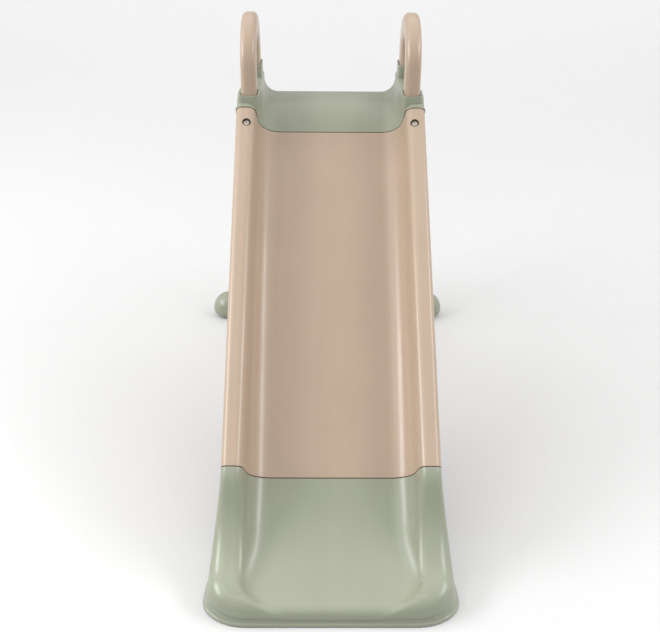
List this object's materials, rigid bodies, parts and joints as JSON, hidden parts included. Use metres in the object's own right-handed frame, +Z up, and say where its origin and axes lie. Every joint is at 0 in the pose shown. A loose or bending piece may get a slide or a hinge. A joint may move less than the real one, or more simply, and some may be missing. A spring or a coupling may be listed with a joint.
{
  "type": "toddler slide",
  "caption": "Free-standing toddler slide: straight trough chute with a flared run-out, start platform, short ladder on a wide base bar and hooped grab handles.",
  "frame": {"origin": "bottom centre of the bounding box, on the floor", "axes": "+Z up, +Y towards the ladder, -Y towards the run-out, +X to the right seen from the run-out"},
  "size_m": [0.5839, 1.0986, 0.7965],
  "materials": {
    "beige_plastic": "satin-gloss moulded polyethylene, warm beige",
    "green_plastic": "satin-gloss moulded polyethylene, grey sage green",
    "steel": "zinc-plated steel screws, nuts and washers",
    "rubber": "dull black rubber pads"
  },
  "bodies": {
    "root": {"chute": "beige_plastic", "run_out": "green_plastic", "platform": "green_plastic", "handle_left": "beige_plastic", "handle_right": "beige_plastic", "stile_left": "green_plastic", "stile_right": "green_plastic", "step_1": "beige_plastic", "step_2": "beige_plastic", "step_3": "beige_plastic", "base_bar": "green_plastic", "lower_splices": "beige_plastic", "rail_screws": "steel", "rail_nuts": "steel", "splice_screws": "steel", "handle_screws": "steel", "deck_bolts": "steel", "deck_nuts": "steel", "deck_washers": "steel", "step_screws": "steel", "base_screws": "steel", "front_feet": "rubber", "rear_feet": "rubber"}
  },
  "joints": []
}
